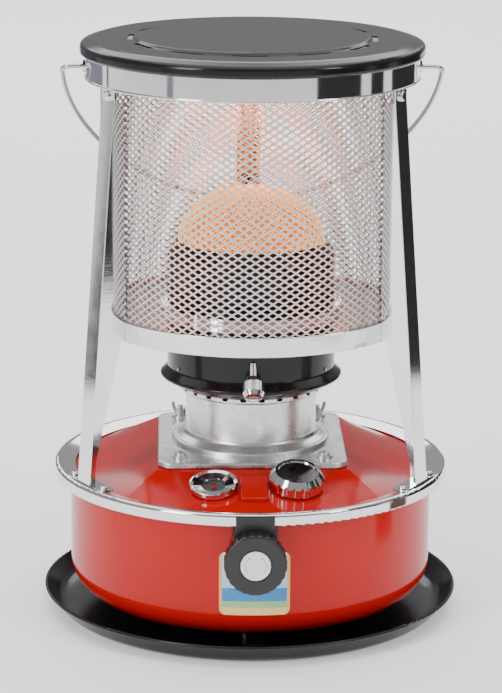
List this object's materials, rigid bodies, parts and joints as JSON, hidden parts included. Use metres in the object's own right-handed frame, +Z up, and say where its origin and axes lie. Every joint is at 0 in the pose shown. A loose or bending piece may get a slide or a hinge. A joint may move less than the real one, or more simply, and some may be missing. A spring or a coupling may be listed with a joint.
{
  "type": "kerosene heater",
  "caption": "Portable round wick heater: drip tray, fuel tank, raised burner under a glowing dome, cylindrical mesh guard on three legs, flat lid and a swinging bail.",
  "frame": {"origin": "centre of the drip tray's underside, on the floor", "axes": "+Z up along the burner's axis; the wick knob faces -Y; +X is to the right seen from the knob"},
  "size_m": [0.325, 0.3331, 0.4498],
  "materials": {
    "black_enamel": "gloss",
    "red_enamel": "gloss",
    "chrome": "polished",
    "guard_steel": "bright zinc",
    "reflector": "bright",
    "cast_alloy": "satin",
    "bright_wire": "drawn",
    "zinc_steel": "zinc plated",
    "brass": "satin",
    "hot_steel": "heat tinted",
    "glow_wire": "glowing",
    "gasket_rubber": "matte",
    "cork": "matte",
    "black_plastic": "satin",
    "white_plastic": "satin",
    "wick_fabric": "woven",
    "gauge_glass": "clear",
    "dial_paint": "satin",
    "needle_paint": "satin",
    "label_print": "gloss"
  },
  "bodies": {
    "stove": {"adjuster_housing": "black_plastic", "bail_eyelets": "chrome", "base_gasket": "gasket_rubber", "base_plate": "cast_alloy", "base_plate_screws": "zinc_steel", "base_plate_studs": "zinc_steel", "base_ring": "chrome", "base_ring_screws": "chrome", "draft_tube": "zinc_steel", "drip_tray": "black_enamel", "filler_neck": "zinc_steel", "filler_strainer": "brass", "gauge_bezel": "chrome", "gauge_dial": "dial_paint", "gauge_stem": "zinc_steel", "gauge_window": "gauge_glass", "guard_bottom_ring": "chrome", "guard_mesh_front": "guard_steel", "guard_mesh_left": "guard_steel", "guard_mesh_right": "guard_steel", "guard_pan": "reflector", "guard_top_ring": "chrome", "housing_nut": "zinc_steel", "label_plate": "label_print", "leg_left": "chrome", "leg_rear": "chrome", "leg_right": "chrome", "leg_top_screws": "chrome", "shaft_bushes": "brass", "shaft_tube": "zinc_steel", "tank_feet": "zinc_steel", "tank_lower_shell": "red_enamel", "tank_top_shell": "red_enamel", "top_collar": "chrome", "tray_screws": "zinc_steel", "wick_chamber_tube": "zinc_steel", "wick_gallery": "cast_alloy", "wing_nuts": "zinc_steel"},
    "bail": {"bail_handle": "bright_wire"},
    "lid": {"lid": "black_enamel"},
    "burner": {"burner_drum": "black_enamel", "burner_skirt": "black_enamel", "inner_flame_tube": "hot_steel", "outer_flame_tube": "hot_steel", "flame_spreader": "hot_steel", "burner_cross_pins": "hot_steel", "glow_dome": "glow_wire", "burner_knob": "chrome"},
    "adjuster": {"wick_knob": "black_plastic", "knob_cap": "white_plastic", "wick_shaft": "zinc_steel", "wick_pinion": "brass"},
    "wick_carriage": {"wick": "wick_fabric", "wick_carrier": "zinc_steel"},
    "filler_lift": {"filler_gasket": "gasket_rubber"},
    "filler_turn": {"filler_cap": "chrome"},
    "float": {"float_arm": "zinc_steel", "float_ball": "cork"},
    "needle": {"gauge_needle": "needle_paint"}
  },
  "joints": [
    {"name": "bail_swing", "type": "hinge", "parent": "stove", "child": "bail", "pos_m": [0, 0, 0.4265], "axis": [1, 0, 0], "range_deg": [0, 265]},
    {"name": "lid_lift", "type": "slide", "parent": "stove", "child": "lid", "axis": [0, 0, 1], "range_m": [0, 0.06]},
    {"name": "burner_lift", "type": "slide", "parent": "stove", "child": "burner", "axis": [0, 0, 1], "range_m": [0, 0.022]},
    {"name": "knob_turn", "type": "hinge", "parent": "stove", "child": "adjuster", "pos_m": [0, 0, 0.0827], "axis": [0, 1, 0], "range_deg": [-120.2, 0.2]},
    {"name": "wick_travel", "type": "slide", "parent": "stove", "child": "wick_carriage", "axis": [0, 0, 1], "range_m": [-0.01257, 0]},
    {"name": "filler_rise", "type": "slide", "parent": "stove", "child": "filler_lift", "axis": [0.0512, -0.2658, 0.9627], "range_m": [0, 0.0091]},
    {"name": "filler_unscrew", "type": "hinge", "parent": "filler_lift", "child": "filler_turn", "pos_m": [0.0322, -0.098, 0.12192], "axis": [0.0512, -0.2658, 0.9627], "range_deg": [0, 540]},
    {"name": "float_swing", "type": "hinge", "parent": "stove", "child": "float", "pos_m": [-0.03, -0.1005, 0.072], "axis": [0.2859, 0.9583, 0], "range_deg": [-40, 30]},
    {"name": "needle_turn", "type": "hinge", "parent": "stove", "child": "needle", "pos_m": [-0.03, -0.1005, 0.12135], "axis": [-0.0486, -0.2625, 0.9637], "range_deg": [-64.2, 48.2]}
  ],
  "couplings": [
    {"joint": "knob_turn", "follows": "wick_travel", "rad_per_m": 166.67},
    {"joint": "filler_rise", "follows": "filler_unscrew", "m_per_rad": 0.000955},
    {"joint": "needle_turn", "follows": "float_swing", "ratio": 1.6}
  ]
}
